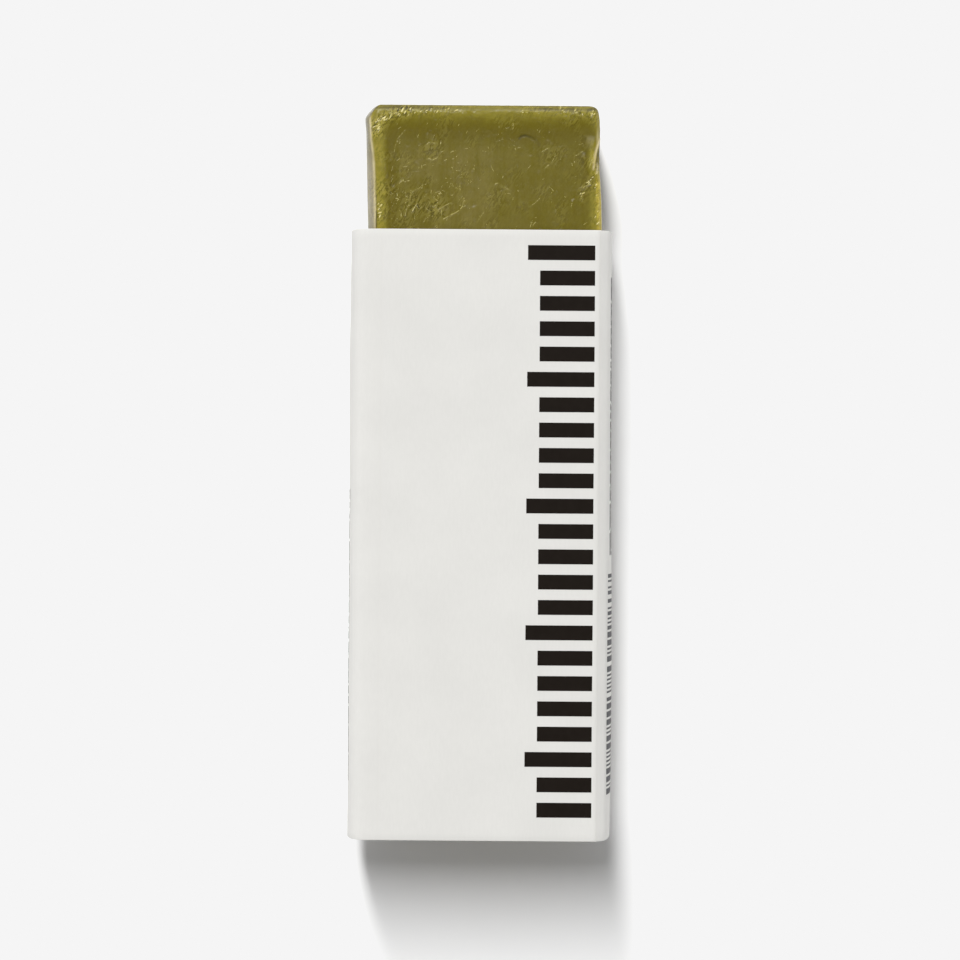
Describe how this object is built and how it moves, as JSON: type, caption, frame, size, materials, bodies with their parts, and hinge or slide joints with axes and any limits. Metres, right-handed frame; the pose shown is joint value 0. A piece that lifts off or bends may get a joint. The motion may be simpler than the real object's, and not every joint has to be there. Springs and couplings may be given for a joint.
{
  "type": "stain remover stick",
  "caption": "Bar of stain-removing soap that slides in an open-ended card sleeve, pushed part of the way out for use.",
  "frame": {"origin": "on the sleeve's back face, in the bar's middle plane, half way along the sleeve", "axes": "+Y along the stick towards the mouth that the bar comes out of, +X across it to the right, +Z out of the front face"},
  "size_m": [0.0412, 0.1144, 0.027],
  "materials": {
    "soap": "satin",
    "card": "matte",
    "glue": "satin"
  },
  "bodies": {
    "sleeve": {"card_sleeve": "card", "seam_glue": "glue"},
    "bar": {"soap_bar": "soap"}
  },
  "joints": [
    {"name": "bar_slide", "type": "slide", "parent": "sleeve", "child": "bar", "axis": [0, 1, 0], "range_m": [-0.0194, 0.0755]}
  ]
}
